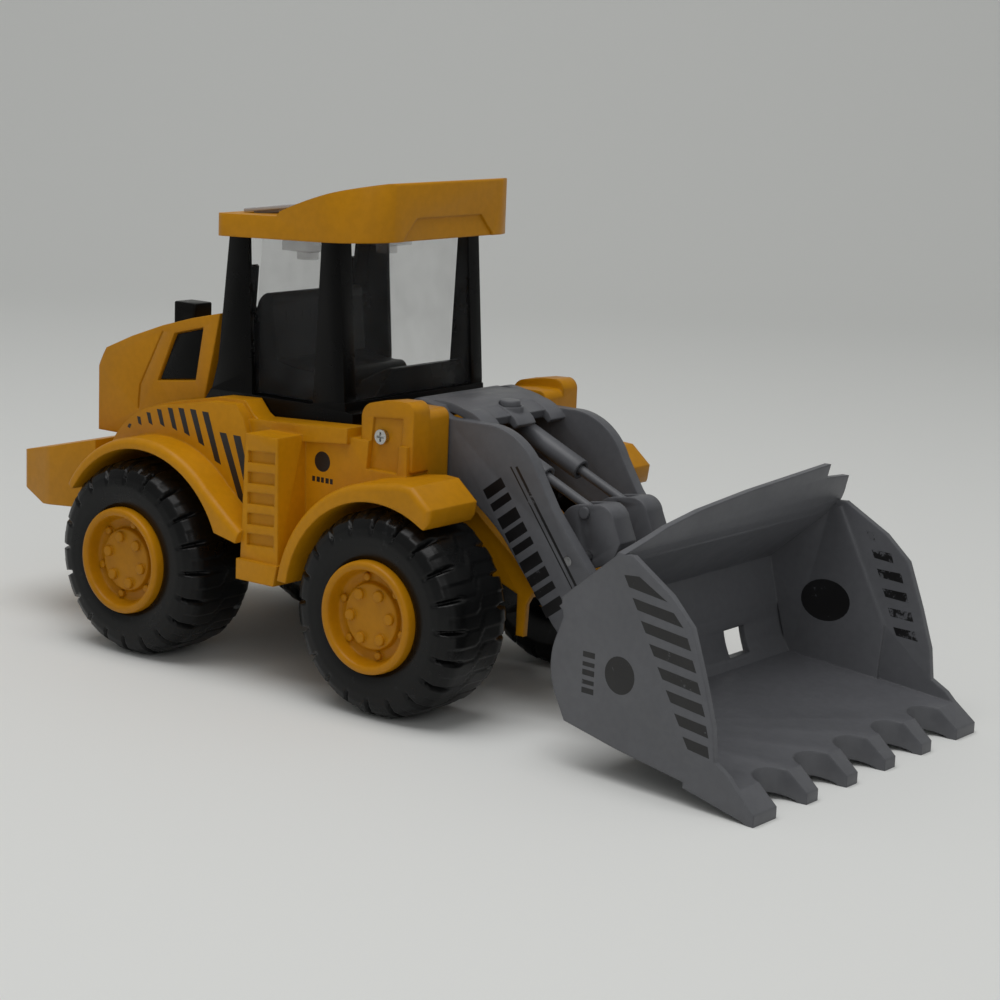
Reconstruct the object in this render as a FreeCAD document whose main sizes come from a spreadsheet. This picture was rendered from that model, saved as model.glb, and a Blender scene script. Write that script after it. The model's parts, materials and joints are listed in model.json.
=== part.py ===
import FreeCAD, Part
import math
import os
import Sketcher

# Toy wheel loader. Lengths in millimetres. Each piece is drawn with its x measured from the
# front axle (+x towards the bucket), y from the middle plane (+y to the left) and z from the
# floor; its Placement then moves the front axle to its place in the part's own frame.

os.makedirs("parts", exist_ok=True)
doc = FreeCAD.newDocument("toy_wheel_loader")
V = FreeCAD.Vector

DIMENSIONS = {
    "front_axle_x": 20.5,
    "wheelbase": 108.5,
    "wheel_radius": 33.0,
    "tyre_inner_y": 29.5,
    "tyre_outer_y": 61.5,
    "hub_lip_y": 64.0,
    "rim_radius": 18.0,
    "axle_radius": 1.7,
    "running_gap": 0.05,
    "axle_half_length": 59.4,
    "chassis_half_width": 26.0,
    "tub_half_width": 27.0,
    "tub_inner_half_width": 24.0,
    "side_half_width": 44.0,
    "stripe_panel_half_width": 48.0,
    "fender_half_width": 59.5,
    "step_half_width": 57.0,
    "post_inner_y": 25.3,
    "post_step_y": 35.0,
    "post_outer_y": 42.7,
    "nose_half_width": 19.5,
    "hood_half_width": 31.0,
    "weight_half_width": 42.0,
    "cab_half_width": 35.5,
    "cab_base_half_width": 35.7,
    "post_wall": 1.6,
    "roof_half_width": 41.0,
    "glass_thickness": 1.3,
    "seat_half_width": 22.5,
    "boom_outer_y": 24.5,
    "boom_inner_y": 20.5,
    "pivot_radius": 1.5,
    "barrel_radius": 3.4,
    "barrel_bore_radius": 2.25,
    "rod_radius": 1.55,
    "rod_pin_radius": 1.0,
    "cylinder_y": 9.0,
    "bucket_wall": 2.2,
    "bucket_rear_half": 57.5,
    "bucket_front_half": 65.0,
    "tooth_tip_x": 144.5,
}

sheet = doc.addObject("Spreadsheet::Sheet", "dims")
for row, (alias, value) in enumerate(DIMENSIONS.items(), start=1):
    sheet.set("A%d" % row, alias)
    sheet.set("B%d" % row, str(value))
    sheet.setAlias("B%d" % row, alias)
doc.recompute()

D = DIMENSIONS
FRONT = D["front_axle_x"]
BOOM_PIVOT = (-12.5, 85.8)
BUCKET_PIVOT = (61.0, 28.2)
CYLINDER_PIVOT = (-3.0, 88.0)
LEVER_PIVOT = (48.0, 53.0)
ROD_END = (46.0, 66.5)

pieces = []


# ---------------------------------------------------------------- helpers

PLANES = {
    "XZ": FreeCAD.Rotation(V(1, 0, 0), 90),
    "XY": FreeCAD.Rotation(),
    "YZ": FreeCAD.Rotation(V(0, 1, 0), V(0, 0, 1), V(1, 0, 0), "ZXY"),
}
NORMALS = {"XZ": V(0, 1, 0), "XY": V(0, 0, 1), "YZ": V(1, 0, 0)}


def draw(sketch, outline):
    """Closed outline: (x, y) is a corner, ('arc', middle, end) an arc through middle."""
    start = outline[0]
    here = start
    for item in outline[1:] + [start]:
        if item[0] == "arc":
            middle, end = item[1], item[2]
            curve = Part.Arc(V(*here, 0), V(*middle, 0), V(*end, 0))
            sketch.addGeometry(curve, False)
        else:
            end = item
            if math.dist(here, end) > 1e-6:
                sketch.addGeometry(Part.LineSegment(V(*here, 0), V(*end, 0)), False)
        here = end


def circle(sketch, centre, radius):
    sketch.addGeometry(Part.Circle(V(*centre, 0), V(0, 0, 1), radius), False)


def bind(obj, prop, value):
    """Set a length from a sheet expression (text) or a plain number."""
    if isinstance(value, str):
        obj.setExpression(prop, value)
    else:
        setattr(obj, prop, value)


def prism(name, plane, outline, low, high, round_centre=None):
    """Solid between two parallel planes, low and high along the normal of the plane."""
    sketch = doc.addObject("Sketcher::SketchObject", name + "_sketch")
    sketch.Placement = FreeCAD.Placement(V(), PLANES[plane])
    if round_centre is None:
        draw(sketch, outline)
    else:
        circle(sketch, round_centre, outline)
    solid = doc.addObject("Part::Extrusion", name)
    solid.Base = sketch
    solid.DirMode = "Custom"
    solid.Dir = NORMALS[plane]
    bind(solid, "LengthFwd", high)
    solid.setExpression("LengthRev", "-(%s)" % low)
    solid.Solid = True
    return solid


def disc(name, plane, centre, radius, low, high):
    return prism(name, plane, radius, low, high, round_centre=centre)


def both(name, plane, outline, inner, outer):
    """The same prism on the right and on the left of the middle plane."""
    right = prism(name + "_r", plane, outline, "-(%s)" % outer, "-(%s)" % inner)
    left = prism(name + "_l", plane, outline, str(inner), str(outer))
    return [right, left]


def both_discs(name, centre, radius, inner, outer):
    right = disc(name + "_r", "XZ", centre, radius, "-(%s)" % outer, "-(%s)" % inner)
    left = disc(name + "_l", "XZ", centre, radius, str(inner), str(outer))
    return [right, left]


def fuse(name, parts):
    joined = doc.addObject("Part::MultiFuse", name)
    joined.Shapes = parts
    joined.Refine = True
    return joined


def cut(name, base, tools):
    tool = tools[0] if len(tools) == 1 else fuse(name + "_tools", tools)
    left = doc.addObject("Part::Cut", name)
    left.Base = base
    left.Tool = tool
    left.Refine = True
    return left


def common(name, parts):
    shared = doc.addObject("Part::MultiCommon", name)
    shared.Shapes = parts
    return shared


def fillet(name, base, radius, wanted):
    """Round the edges of base that wanted(edge) picks out."""
    doc.recompute()
    rounded = doc.addObject("Part::Fillet", name)
    rounded.Base = base
    edges = [(i, radius, radius) for i, e in enumerate(base.Shape.Edges, 1) if wanted(e)]
    rounded.Edges = edges
    return rounded


def is_along(edge, axis):
    """True for a straight edge parallel to axis."""
    if edge.Curve.TypeId != "Part::GeomLine":
        return False
    return abs(abs(edge.Curve.Direction.dot(axis)) - 1.0) < 1e-6


def piece(obj, label, x="dims.front_axle_x", z=None):
    """Name the finished piece and put it where it belongs in the part's frame."""
    obj.Label = label
    obj.setExpression("Placement.Base.x", x)
    if z:
        obj.setExpression("Placement.Base.z", z)
    pieces.append(obj)
    return obj


def on_circle(centre, radius, degrees):
    angle = math.radians(degrees)
    return (centre[0] + radius * math.cos(angle), centre[1] + radius * math.sin(angle))


def ring_sector(centre, inner, outer, first, last):
    """Outline of part of a ring, from the first to the last angle in degrees."""
    middle = (first + last) / 2.0
    return [
        on_circle(centre, outer, first),
        ("arc", on_circle(centre, outer, middle), on_circle(centre, outer, last)),
        on_circle(centre, inner, last),
        ("arc", on_circle(centre, inner, middle), on_circle(centre, inner, first)),
    ]


# ---------------------------------------------------------------- chassis and body

REAR = -D["wheelbase"]
AXLE_Z = D["wheel_radius"]
REAR_END = -143.0
FRONT_ARCH = 36.6
REAR_ARCH = 38.0


def make_chassis():
    outline = [(REAR_END, 34), (REAR_END, 46), (0, 46), (4, 42), (11, 42), (12, 40), (12, 30),
               (10, 26), (-12, 26), (-14, 30), (-92, 30), (-94, 26), (-118, 26), (-134, 31)]
    wide = "dims.chassis_half_width"
    pan = prism("chassis_pan", "XZ", outline, "-" + wide, wide)
    inside = "(dims.chassis_half_width - 3)"
    hollows = []
    for i, (low, high) in enumerate([(-139.5, -113), (-99, -7)]):
        box = [(low, 34), (high, 34), (high, 47), (low, 47)]
        hollows.append(prism("chassis_hollow_%d" % i, "XZ", box, "-" + inside, inside))
    bore = D["axle_radius"] + D["running_gap"]
    for i, x in enumerate([0.0, REAR]):
        hollows.append(disc("axle_bore_%d" % i, "XZ", (x, AXLE_Z), bore, -40, 40))
    piece(cut("chassis", pan, hollows), "chassis")


def make_body_shell():
    tub = "dims.tub_half_width"
    side = "dims.side_half_width"
    fender = "dims.fender_half_width"
    front_c = (-0.5, AXLE_Z - 1.0)
    rear_c = (REAR + 5.1, AXLE_Z)

    tub_outline = [(REAR_END, 46), (REAR_END, 68), (-101.6, 68), (-101.6, 84),
                   (-24.5, 84), (-24.5, 46)]
    parts = [prism("tub", "XZ", tub_outline, "-" + tub, tub)]

    side_outline = [(-128, 60), (-128, 72), ("arc", (-117, 81), (-103, 85.5)), (-83, 89.6),
                    (-70.4, 90.2), (-66.5, 86), (-63, 84), (-1, 84), (-1, 62), (-40, 35),
                    (-62, 35), (-75, 60)]
    parts += both("body_side", "XZ", side_outline, tub, side)
    shell = fuse("shell_block", parts)

    inside = "dims.tub_inner_half_width"
    void = [(REAR_END + 3, 45), (REAR_END + 3, 65), (-98.6, 65), (-98.6, 81), (-27.5, 81),
            (-27.5, 45)]
    cuts = [prism("tub_void", "XZ", void, "-" + inside, inside)]
    cuts += both_discs("front_arch", front_c, FRONT_ARCH, tub, 70)
    cuts += both_discs("rear_arch", rear_c, REAR_ARCH, tub, 70)
    shell = cut("shell_cut", shell, cuts)

    more = [shell]
    panel = [(-129, 68), ("arc", (-118.5, 79.5), (-103.5, 84.6)), (-83, 88.6), (-71, 89.2),
             (-67.6, 85.6), (-59, 62), (-59, 50), on_circle(rear_c, 40, 35),
             ("arc", on_circle(rear_c, 40, 90), on_circle(rear_c, 40, 130))]
    more += both("stripe_panel", "XZ", panel, side, "dims.stripe_panel_half_width")
    more += rounded_fenders("rear_fender", rear_fender_outline(rear_c), 26.9, rear_c, REAR_ARCH)
    more += rounded_fenders("front_fender", front_fender_outline(front_c), 36.0, front_c,
                            FRONT_ARCH)
    more += both("step_panel", "XZ", [(-59, 41), (-42.5, 41), (-43.5, 82.5), (-57.5, 82.5)],
                 side, "dims.step_half_width")
    more += both("step_foot", "XZ", [(-59.4, 34.7), (-43, 34.7), (-41.5, 41.5), (-59.4, 41.5)],
                 side, "dims.step_half_width + 1.5")
    ledge = [(-74, 84.2), (-24.5, 87), (-24.5, 82), (-66, 78.4)]
    more += both("ledge", "XZ", ledge, tub, "dims.side_half_width + 1.5")
    more += make_posts()
    nose = [(-25, 46.2), (-25, 60), (5, 64), (33, 42), (29, 35), (28.5, 24.6), (25.5, 24.6),
            (25.5, 38), (14, 42.3), (4.3, 42.3), (0.2, 46.2)]
    more.append(prism("nose", "XZ", nose, "-dims.nose_half_width", "dims.nose_half_width"))
    shell = fuse("shell_fused", more)

    seat_of_cab = [(-160, 68), (-101.6, 68), (-101.6, 84), (-24.6, 84), (-24.6, 120), (-160, 120)]
    holes = [prism("cab_seat", "XZ", seat_of_cab, -36, 36)]
    tab_gap = [(24, 20), (24, 35.5), (28, 37.4), (40, 37.4), (40, 20)]
    holes.append(prism("nose_tab_gap", "XZ", tab_gap, "-(dims.nose_half_width - 2)",
                       "dims.nose_half_width - 2"))
    for i in range(5):
        low = 46.2 + 6.75 * i
        rung = [(-56.2, low), (-44.6, low + 0.7), (-44.6, low + 4.5), (-56.2, low + 3.8)]
        holes += both("rung_%d" % i, "XZ", rung, "(dims.step_half_width - 1.2)", 61)
    bore = D["pivot_radius"] + D["running_gap"]
    holes += both_discs("pivot_hole", BOOM_PIVOT, bore, 20, 50)
    recess = [(-17.5, 75), (-5, 75), (-4, 92.5), (-16, 91.5)]
    holes += both("post_recess", "XZ", recess, "(dims.post_outer_y - 0.8)", 50)
    shell = cut("body_shell", shell, holes)
    piece(shell, "body_shell")


def rear_fender_outline(centre):
    outer = REAR_ARCH + 3.6
    return [
        on_circle(centre, outer, 148),
        ("arc", on_circle(centre, outer, 95), on_circle(centre, outer, 45)),
        (-63, 54), (-57.8, 50.5), (-59, 46.5),
        on_circle(centre, REAR_ARCH, 24),
        ("arc", on_circle(centre, REAR_ARCH, 85), on_circle(centre, REAR_ARCH, 148)),
    ]


def front_fender_outline(centre):
    return [
        (-41.8, 37.3), ("arc", (-29.4, 61.6), (-8.4, 73.4)), (0, 74.8), (8.5, 75.9),
        (13.5, 75.6), (21, 69.3), (20.4, 65.3), on_circle(centre, FRONT_ARCH, 58),
        ("arc", on_circle(centre, FRONT_ARCH, 115), on_circle(centre, FRONT_ARCH, 172)),
    ]


def rounded_fenders(name, outline, inner, centre, arch):
    """A fender on each side, its outer edge rounded all along the top."""
    outer = D["fender_half_width"]

    def is_top_edge(edge):
        if any(abs(abs(v.Point.y) - outer) > 1e-4 for v in edge.Vertexes):
            return False
        middle = edge.valueAt(0.5 * (edge.FirstParameter + edge.LastParameter))
        return math.dist((middle.x, middle.z), centre) > arch + 2.0 and middle.z > 56

    return [fillet(solid.Name + "_round", solid, 2.4, is_top_edge)
            for solid in both(name, "XZ", outline, inner, "dims.fender_half_width")]


def make_posts():
    inner, step, outer = "dims.post_inner_y", "dims.post_step_y", "dims.post_outer_y"
    tall = [(-21, 76), (-21, 90.5), ("arc", (-19.6, 94.6), (-16, 96.2)), (-8.7, 97.5),
            (-4, 97.7), ("arc", (-0.9, 96.9), (0.3, 94)), (0.3, 76)]
    low = [(-21, 71.5), (-21, 89), ("arc", (-20, 92.6), (-17, 93.9)), (-8.7, 94.8), (-3, 94.8),
           ("arc", (-0.6, 94), (0.3, 91.8)), (0.3, 71.5)]
    parts = both("post_outer", "XZ", tall, step, outer)
    parts += both("post_inner", "XZ", low, inner, step)
    return parts


def make_hood():
    outline = [(-157.6, 68.2), (-156, 80.3), ("arc", (-153.6, 90), (-149.6, 97.6)), (-137, 103),
               (-122, 108.3), (-108, 112.2), (-94.8, 115.2), (-101.8, 85), (-101.8, 68.2)]
    block = prism("hood_block", "XZ", outline, "-dims.hood_half_width", "dims.hood_half_width")
    corners = [(-162, 40), (-149, 40), ("arc", (-154, 30), (-160, 25)), (-162, 25)]
    tools = [prism("hood_corner_l", "XY", corners, 60, 130)]
    mirrored = [(-162, -40), (-149, -40), ("arc", (-154, -30), (-160, -25)), (-162, -25)]
    tools.append(prism("hood_corner_r", "XY", mirrored, 60, 130))
    window = [(-116, 106.3), (-102.6, 109.6), (-106, 91.2), (-124, 89.1)]
    tools += both("hood_window_pocket", "XZ", window, "(dims.hood_half_width - 1.6)", 40)
    seam = [(-122.2, 106.2), (-121.6, 106.4), (-132.3, 86.4), (-133.1, 78), (-133.8, 78),
            (-133, 86.4)]
    tools += both("hood_seam", "XZ", seam, "(dims.hood_half_width - 0.5)", 40)
    cavity = [(-150, 67), (-149, 80), (-145, 94), (-122, 104), (-99, 110.5), (-105, 86),
              (-105, 67)]
    tools.append(prism("hood_cavity", "XZ", cavity, -26, 26))
    hood = cut("engine_hood", block, tools)
    piece(hood, "engine_hood")
    insert = [(-115.6, 105.9), (-103.1, 109), (-106.3, 91.6), (-123.4, 89.5)]
    panes = both("hood_pane", "XZ", insert, "(dims.hood_half_width - 1.6)",
                 "(dims.hood_half_width - 0.7)")
    piece(fuse("hood_windows", panes), "hood_side_windows")


def make_exhaust():
    outline = [(-143.5, -4.5), (-133, -4.5), (-133, 4.5), (-143.5, 4.5)]
    block = prism("exhaust_block", "XY", outline, 98, 112.6)
    roof_line = [(-149.6, 90), (-149.6, 97.6), (-137, 103), (-122, 108.3), (-120, 90)]
    trimmed = cut("exhaust_trimmed", block, [prism("exhaust_foot", "XZ", roof_line, -8, 8)])
    rounded = fillet("exhaust_box", trimmed, 1.0, lambda e: is_along(e, V(0, 0, 1)))
    piece(rounded, "exhaust_box")


def make_counterweight():
    outline = [(REAR_END, 42.5), (REAR_END, 67), (-166.9, 61.2), (-185.5, 57.2),
               (-184.5, 44.5), (-171, 40.2)]
    wide = "dims.weight_half_width"
    block = prism("weight_block", "XZ", outline, "-" + wide, wide)
    plan = [(REAR_END, -42), (-166, -42), ("arc", (-168.5, -41.6), (-171, -40.9)), (-181, -38.5),
            ("arc", (-184.5, -36.5), (-185.5, -33)), (-185.5, 33),
            ("arc", (-184.5, 36.5), (-181, 38.5)), (-171, 40.9),
            ("arc", (-168.5, 41.6), (-166, 42)), (REAR_END, 42)]
    limit = prism("weight_plan", "XY", plan, 30, 80)
    weight = common("weight_shape", [block, limit])
    hood_space = [(-161, 68), (-141, 68), (-141, 75), (-161, 75)]
    weight = cut("counterweight", weight, [prism("weight_top", "XZ", hood_space, -50, 50)])
    piece(weight, "counterweight")


# ---------------------------------------------------------------- cab

def roof_under(x, rise=0.0):
    """Height of the roof's lower edge, which climbs a little towards the front."""
    return 142.0 + 0.0429 * (x + 89.0) + rise


def strip(first, last, low, high):
    """Band that follows the roof's lower edge, between two heights above it."""
    return [(first, roof_under(first, low)), (last, roof_under(last, low)),
            (last, roof_under(last, high)), (first, roof_under(first, high))]


def make_cab_frame():
    base = [(-97.9, 84.2), (-96.9, 86.5), (-93.9, 90.5), (-50, 90.8), (-39, 92.6), (-34.5, 92.8),
            (-34.2, 90), (-30.9, 89.6), (-30.9, 84.2)]
    wide = "dims.cab_base_half_width"
    floor_top = 86.5
    well = [(-92.5, floor_top), (-37.9, floor_top), (-37.9, 95), (-92.5, 95)]
    base = cut("cab_base", prism("cab_base_block", "XZ", base, "-" + wide, wide),
               [prism("cab_well", "XZ", well, -31, 31)])
    cab = "dims.cab_half_width"
    rear_top = roof_under(-86.6, 0.8)
    front_top = roof_under(-38.6, 0.8)
    rear_post = [(-96.2, 87), (-93.6, 91), (-91, 100), (-89.6, 112.8), (-88.2, 126.9),
                 (-86.6, rear_top), (-78.4, rear_top), (-77.6, 127), (-75.6, 99), (-75.4, 90)]
    rear_leg = [(-93.6, 91), (-91, 100), (-89.6, 112.8), (-88.2, 126.9), (-86.6, rear_top),
                (-85, rear_top), (-86.6, 126.9), (-88, 112.8), (-89.3, 100), (-91.6, 91)]
    front_post = [(-48.4, 90), (-46.7, 128.3), (-46.1, front_top), (-38.6, front_top),
                  (-37.4, 128), (-34.9, 95), (-34.8, 92)]
    front_leg = [(-36.4, 92), (-36.5, 95), (-39, 128), (-40.2, front_top), (-38.6, front_top),
                 (-37.4, 128), (-34.9, 95), (-34.8, 92)]
    wall = "(dims.cab_half_width - dims.post_wall)"
    parts = [base]
    parts += both("rear_post", "XZ", rear_post, wall, cab)
    parts += both("rear_leg", "XZ", rear_leg, "(dims.cab_half_width - 7.5)", cab)
    parts += both("front_post", "XZ", front_post, wall, cab)
    parts += both("front_leg", "XZ", front_leg, "(dims.cab_half_width - 5.7)", cab)
    parts += both("top_rail", "XZ", strip(-86.6, -38.6, 0.4, 2.9), "(dims.cab_half_width - 3)", cab)
    parts.append(prism("rear_rail", "XZ", strip(-86.6, -83.5, 0.4, 2.9), "-" + cab, cab))
    parts.append(prism("front_rail", "XZ", strip(-41.9, -38.6, 0.4, 2.9), "-" + cab, cab))
    low_wall = [(-94.4, 89), (-91.2, 117), (-88.8, 117), (-92.3, 95), (-92.3, 86)]
    parts.append(prism("rear_wall", "XZ", low_wall, -30, 30))
    stub = [(-91.2, 116), (-89.8, 130), ("arc", (-89.4, 131.4), (-88.4, 131.6)), (-87.7, 131),
            (-88.8, 116)]
    parts += both("rear_stub", "XZ", stub, 20, 30)
    piece(fuse("cab_frame", parts), "cab_frame")


def make_glazing():
    thick = D["glass_thickness"]
    side = [(-75.2, 91.2), (-75.4, 99), (-77.4, 127), (-78.2, roof_under(-78.2, 0.3)),
            (-46.3, roof_under(-46.3, 0.3)), (-46.9, 128.3), (-48.5, 91.4)]
    parts = both("side_pane", "XZ", side, 34 - thick, 34)
    rear = [(-88.6, 117.2), (-87.5, 117.2), (-85.6, roof_under(-85.6, 0.2)),
            (-86.7, roof_under(-86.7, 0.2))]
    parts.append(prism("rear_pane", "XZ", rear, -19.8, 19.8))
    top = roof_under(-38.8, 0.2)
    screen = [(-35.1, 93), (-37.6, 128), (-38.8, top), (-38.8 - thick, top),
              (-37.6 - thick, 128), (-35.1 - thick, 93)]
    parts.append(prism("windscreen", "XZ", screen, -29.6, 29.6))
    for i, y in enumerate([-20.0, 20.0]):
        block = [(-72, y - 6), (-60, y - 6), (-60, y + 6), (-72, y + 6)]
        parts.append(prism("boss_block_%d" % i, "XY", block, 138.2, 145.7))
        parts.append(disc("boss_stub_%d" % i, "XY", (-66, y), 3.6, 135.4, 138.3))
    piece(fuse("cab_glazing", parts), "cab_glazing")


def make_roof():
    side = [(-92.5, roof_under(-92.5)), (-92.5, 148.2), ("arc", (-92.1, 149), (-91.3, 149.3)),
            (-62, 150.6), (-60.5, 152.3), ("arc", (-48, 156.9), (-32, 161.4)),
            (-23.5, 163.4), ("arc", (-22.8, 163.2), (-22.5, 162.6)), (-22.5, roof_under(-22.5))]
    wide = "dims.roof_half_width"
    block = prism("roof_block", "XZ", side, "-" + wide, wide)
    half = D["roof_half_width"]
    plan = [(-92.5, 31), ("arc", (-91, 36.3), (-86, 38.3)), (-60, 40), (-42, half),
            ("arc", (-31.5, 38.6), (-22.5, 27))]
    mirrored = [(-22.5, -27), ("arc", (-31.5, -38.6), (-42, -half)), (-60, -40),
                (-86, -38.3), ("arc", (-91, -36.3), (-92.5, -31))]
    limit = prism("roof_plan", "XY", plan + mirrored, 130, 170)
    roof = common("roof_shape", [block, limit])
    tools = [prism("roof_socket", "XZ", strip(-88.5, -29.5, -1.0, 3.0), -36, 36)]
    tray = [(-86.5, 148.6), (-49.5, 153.8), (-49.5, 162), (-86.5, 162)]
    tools.append(prism("roof_tray", "XZ", tray, -30, 30))
    lamp = [(-22.6, 140), (22.6, 140), (22.6, 145.5), (16.4, 152), (-16.4, 152), (-22.6, 145.5)]
    tools.append(prism("roof_front_recess", "YZ", lamp, -23.4, -20))
    piece(cut("cab_roof", roof, tools), "cab_roof")
    plate = [(-86.2, 149.7), (-49.8, 154.8), (-49.8, 156), (-86.2, 150.9)]
    window = prism("roof_window_plate", "XZ", plate, -29.7, 29.7)
    foot = [(-84, 148.95), (-52, 153.45), (-52, 155), (-84, 150.3)]
    skirt = prism("roof_window_foot", "XZ", foot, -27, 27)
    piece(fuse("roof_window", [window, skirt]), "roof_window")


def make_interior():
    seat = [(-84.5, 86.5), (-85, 113), ("arc", (-84.3, 121.2), (-82, 122.7)),
            ("arc", (-79.5, 122.2), (-78.8, 119)), (-76.5, 101), ("arc", (-70, 99.5), (-60, 99)),
            ("arc", (-58, 98), (-57.5, 95)), (-58, 86.5)]
    piece(prism("seat", "XZ", seat, "-dims.seat_half_width", "dims.seat_half_width"), "seat")
    dash = [(-20, 86.5), (30.7, 86.5), (30.7, 93.2), (33.6, 93.2), (28, 101), (-7.6, 101),
            (-17.4, 92)]
    block = prism("dash_block", "YZ", dash, -48.1, -38.2)
    slope = [(-51, 94.6), (-39.4, 102), (-51, 102)]
    piece(cut("dashboard", block, [prism("dash_slope", "XZ", slope, -36, 36)]), "dashboard")


# ---------------------------------------------------------------- wheels

def sketch_in(body, plane, name):
    sketch = body.newObject("Sketcher::SketchObject", name)
    feature = [f for f in body.Origin.OriginFeatures if f.Role == plane][0]
    sketch.AttachmentSupport = [(feature, "")]
    sketch.MapMode = "FlatFace"
    return sketch


def revolved_body(name, profile):
    """Body of revolution about the Y axis; the profile is drawn as (radius, y)."""
    body = doc.addObject("PartDesign::Body", name)
    sketch = sketch_in(body, "XY_Plane", name + "_profile")
    draw(sketch, profile)
    turn = body.newObject("PartDesign::Revolution", name + "_turned")
    turn.Profile = sketch
    turn.ReferenceAxis = (sketch, ["V_Axis"])
    turn.Angle = 360.0
    body.Tip = turn
    return body


def polar(body, feature, count, name):
    pattern = body.newObject("PartDesign::PolarPattern", name)
    pattern.Originals = [feature]
    axis = [f for f in body.Origin.OriginFeatures if f.Role == "Y_Axis"][0]
    pattern.Axis = (axis, [""])
    pattern.Angle = 360.0
    pattern.Occurrences = count
    body.Tip = pattern
    return pattern


def studs(body, name, side, radius_to, size, low, high, count, turn):
    """Ring of round studs that stand out of the hub's face, from low to high in |y|."""
    sketch = sketch_in(body, "XZ_Plane", name + "_sketch")
    sketch.AttachmentOffset = FreeCAD.Placement(V(0, 0, -side * low), FreeCAD.Rotation())
    circle(sketch, on_circle((0, 0), radius_to, turn), size)
    pad = body.newObject("PartDesign::Pad", name + "_pad")
    pad.Profile = sketch
    pad.Length = high - low
    pad.Reversed = side > 0
    body.Tip = pad
    polar(body, pad, count, name + "_ring")


def make_hub(label, side, x):
    lip = D["hub_lip_y"]
    rim = D["rim_radius"]
    bore = D["axle_radius"]
    half = [(bore, 32.5), (14, 32.5), (14, 57), (rim - 0.6, 57), (rim, 58), (rim, lip - 1.2),
            ("arc", (rim - 0.6, lip - 0.2), (rim - 1.6, lip)),
            ("arc", (rim - 2.7, lip - 0.4), (rim - 3.1, lip - 1.6)), (rim - 3.9, 58.6),
            (10.9, 58.6), (10.3, 60.4), (0, 60.4), (0, 59.6), (bore, 59.6)]
    profile = mirrored_profile(half, side)
    body = revolved_body(label, profile)
    studs(body, label + "_stud", side, 7.8, 1.85, 60.2, 61.7, 6, 30)
    studs(body, label + "_boss", side, 12.5, 1.2, 58.4, 59.8, 6, 0)
    piece(body, label, x, "dims.wheel_radius")


def mirrored_profile(half, side):
    result = []
    for item in half:
        if item[0] == "arc":
            result.append(("arc", (item[1][0], side * item[1][1]), (item[2][0], side * item[2][1])))
        else:
            result.append((item[0], side * item[1]))
    return result


def make_tyre(label, side, x):
    rim = D["rim_radius"]
    outer = D["wheel_radius"]
    inner_y, outer_y = D["tyre_inner_y"], D["tyre_outer_y"]
    half = [(14, inner_y + 3), (14, 57), (rim - 0.6, 57), (rim, 58), (rim, 60.5),
            ("arc", (rim + 5, outer_y), (rim + 9, outer_y)),
            ("arc", (outer - 2.2, outer_y - 0.8), (outer, 56.5)), (outer, inner_y + 5),
            ("arc", (outer - 2, inner_y + 1), (rim + 9, inner_y)),
            ("arc", (rim + 2, inner_y + 0.4), (14, inner_y + 3))]
    body = revolved_body(label, mirrored_profile(half, side))
    count = 20
    for k, (near, far) in enumerate([(47.5, 63), (27.5, 43.5)]):
        slot = sketch_in(body, "XZ_Plane", "%s_slot_%d" % (label, k))
        slot.AttachmentOffset = FreeCAD.Placement(V(0, 0, -side * near), FreeCAD.Rotation())
        turn = 10.0 * k
        draw(slot, slot_outline(outer, turn))
        pocket = body.newObject("PartDesign::Pocket", "%s_cut_%d" % (label, k))
        pocket.Profile = slot
        pocket.Length = far - near
        pocket.Reversed = side < 0
        body.Tip = pocket
        polar(body, pocket, count, "%s_lugs_%d" % (label, k))
    piece(body, label, x, "dims.wheel_radius")


def slot_outline(outer, turn):
    """Radial slot between two lugs, wider towards the tread."""
    angle = 90.0 + turn
    deep, shallow = outer - 3.4, outer + 1.0
    return [on_circle((0, 0), deep, angle - 2.0), on_circle((0, 0), shallow, angle - 3.4),
            on_circle((0, 0), shallow, angle + 3.4), on_circle((0, 0), deep, angle + 2.0)]


def make_wheels():
    places = {"front": "dims.front_axle_x", "rear": "dims.front_axle_x - dims.wheelbase"}
    for end, x in places.items():
        axle = doc.addObject("Part::Cylinder", "axle_" + end)
        axle.setExpression("Radius", "dims.axle_radius")
        axle.setExpression("Height", "2 * dims.axle_half_length")
        axle.Placement = FreeCAD.Placement(V(0, 0, 0), FreeCAD.Rotation(V(1, 0, 0), -90))
        axle.setExpression("Placement.Base.y", "-dims.axle_half_length")
        piece(axle, "axle_" + end, x, "dims.wheel_radius")
        for hand, side in (("left", 1), ("right", -1)):
            make_hub("hub_%s_%s" % (end, hand), side, x)
            make_tyre("tyre_%s_%s" % (end, hand), side, x)


# ---------------------------------------------------------------- boom and cylinders

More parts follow.
